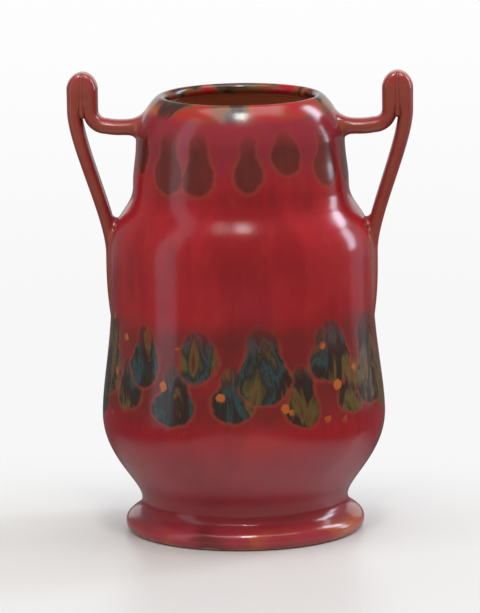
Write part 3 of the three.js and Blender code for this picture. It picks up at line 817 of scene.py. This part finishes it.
def spread_on_wall(rings):
    """Clay thumbed out on the wall: a point less than the fillet's height above the wall moves round
    the pot by up to TAIL_SPREAD of its own turn, as (1 - height / fillet) squared."""
    radius, turn = np.hypot(rings[..., 0], rings[..., 1]), np.arctan2(rings[..., 1], rings[..., 0])
    height = rings[..., 2]
    above = radius - radius_at(outer_face, height) + hand_drift(turn, height)
    turn = turn * (1 + TAIL_SPREAD * np.clip(1 - above / TAIL_FILLET, 0, 1.15) ** 2)
    return np.stack([radius * np.cos(turn), radius * np.sin(turn), height], -1)


def outer_strap(name):
    """Ovals along the outer line, flat against the seam while in the ear, under a rounded crown and
    with the tail spread on the wall."""
    line, thickness = outer_line()
    rings = np.vstack([crown_rings(EAR_CENTRE + SEAM_GAP / 2, 1),
                       strap_rings(line, thickness, STRAP_WIDTH, flat_in_ear(line, 1))])
    return surface(name, spread_on_wall(rings))


def ear_slip(name):
    """The slip between the straps: ovals down an upright line, under a rounded crown, that fill the
    groove along the straps' edges and shrink as a quarter round in the fork under the ear."""
    line = np.array([(EAR_CENTRE, EAR_TOP - EAR_CROWN), (EAR_CENTRE, EAR_FOOT - SLIP_BELOW_EAR)])
    line = even_steps(line, 1.0 * MM)
    crown = crown_rings(EAR_CENTRE, 0, SLIP_THICKNESS, SLIP_WIDTH, 0.0, top=SLIP_SUNK_AT_TOP)
    foot_turn = np.linspace(0, 0.5 * np.pi, 10)[1:-1]
    foot_heights = line[-1, 1] - SLIP_ROUNDED_END * np.sin(foot_turn)
    foot = np.stack([0 * foot_turn + EAR_CENTRE, foot_heights], -1)
    shrink = np.cos(foot_turn)
    to_axis = np.tile([-1.0, 0.0], (len(foot), 1))
    foot_rings = strap_rings(foot, SLIP_THICKNESS * shrink, SLIP_WIDTH * (0.4 + 0.6 * shrink), 0.0, to_axis)
    return surface(name, np.vstack([crown, strap_rings(line, SLIP_THICKNESS, SLIP_WIDTH), foot_rings]))


def lip_fillet(name):
    """Clay smoothed round the root of the bridge. Ovals about the bridge's centre line shrink from
    a wide one on the wall to the strap's own, by a quarter round: flare * (1 - sin a) wide at
    reach * (1 - cos a) off the wall. The first oval lies in the clay. Each point slides along the
    strap, half of what is wanting at a time, until it is that far from the wall's own curve."""
    line = inner_line()[::-1]
    run = np.concatenate([[0], np.cumsum(np.linalg.norm(np.diff(line, axis=0), axis=1))])
    turn = np.concatenate([[0], np.linspace(0, 0.5 * np.pi, 20)])
    off_wall = LIP_FILLET_REACH * (1 - np.cos(turn)) + LIP_FILLET_EDGE
    off_wall[0] = -WALL / 4
    flare = LIP_FILLET_FLARE * (1 - np.sin(turn)) + LIP_FILLET_SKIN
    wanted = WALL / 2 + off_wall
    centre = np.stack([np.interp(wanted, run, line[:, k]) for k in (0, 1)], -1)
    along = np.stack([np.interp(wanted, run, np.gradient(line[:, k], run)) for k in (0, 1)], -1)
    rings = strap_rings(centre, STRAP_THICKNESS + 2 * flare, STRAP_WIDTH + 2 * flare,
                        across=np.stack([along[:, 1], -along[:, 0]], -1))
    for _ in range(LIP_FILLET_SLIDES):
        angle = np.arctan2(rings[..., 1], rings[..., 0])
        wall = radius_at(outer_face, rings[..., 2]) - hand_drift(angle, rings[..., 2])
        too_far = rings[..., 0] - np.sqrt(wall ** 2 - rings[..., 1] ** 2) - off_wall[:, None]
        rings[..., 0] -= 0.5 * too_far * along[:, :1]
        rings[..., 2] -= 0.5 * too_far * along[:, 1:]
    return surface(name, rings)


def shoulder_web(name):
    """Clay pressed into the crotch between arm and shoulder. A section across it at one y is a
    hammock between the wall and the arm's inner face, hung WEB_RISE above the point where they
    meet, with sag 2 u (1 - u) of its span, and closed below inside the clay."""
    line, thickness = outer_line()
    arm = (line[:, 1] >= ARM_END) & (line[:, 1] < NECK_BASE_HEIGHT)
    height, centre, thick = line[arm, 1][::-1], line[arm, 0][::-1], thickness[arm][::-1]
    aside = np.linspace(-WEB_HALF_WIDTH, WEB_HALF_WIDTH, 31)
    share = np.linspace(0, 1, 17)
    rings = []
    for y in aside:
        lean = (abs(y) / (STRAP_WIDTH / 2)) ** (1 / ROUNDNESS)
        inner = centre - thick / 2 * np.sqrt(1 - lean ** 2) ** ROUNDNESS
        wall = np.sqrt(radius_at(outer_face, height) ** 2 - y ** 2)
        crotch = np.interp(0, inner - wall, height)
        top = crotch + WEB_RISE * (1 - WEB_DROOP_AT_EDGE * (y / WEB_HALF_WIDTH) ** 2)
        low = np.interp(top, height, wall) - WEB_BITE
        high = np.interp(top, height, inner) + WEB_BITE
        x = low + (high - low) * share
        z = top - 2 * (high - low) * share * (1 - share)
        rings.append(np.stack([np.concatenate([x, x[::-1]]), np.full(2 * len(x), y),
                               np.concatenate([z, np.full(len(x), crotch - WEB_DEPTH)])], -1))
    return surface(name, rings)


def handle_glaze():
    """The red glaze on the straps, browner where it ran thin on their edges and crowns."""
    paint = Paint("handle_glaze")
    colour = paint.mix(red_ground(paint), HANDLE_BROWN, 0.5)
    wander = (noise(paint, 90.0, 3.0) - 0.5) * 0.005
    edge = paint.ease(paint.math("ABSOLUTE", paint.axis("Y")) + wander, *WORN_EDGE)
    crown = paint.ease(paint.axis("Z") + wander, *WORN_CROWN_HEIGHTS)
    thin = paint.math("MAXIMUM", edge, crown)
    colour = paint.mix(colour, WORN_BROWN, thin * 0.42)
    return glassy(paint, colour, 0.16 + 0.08 * noise(paint, 30.0))


straps_coat = handle_glaze()
for hand, half_turns in (("right", 0), ("left", 1)):
    for piece, nodes in ((inner_strap(f"{hand}_inner_strap_glazed"), [f"{hand}_inner_strap"]),
                         (outer_strap(f"{hand}_outer_strap_glazed"), [f"{hand}_outer_strap"]),
                         (ear_slip(f"{hand}_ear_slip"), []),
                         (lip_fillet(f"{hand}_lip_fillet"), [f"{hand}_lip_wad"]),
                         (shoulder_web(f"{hand}_shoulder_web"), [f"{hand}_shoulder_wad"])):
        piece.data.transform(Matrix.Rotation(half_turns * np.pi, 4, "Z"))
        piece.data.materials.append(straps_coat)
        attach(piece, "root")
        if nodes:
            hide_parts(*nodes)
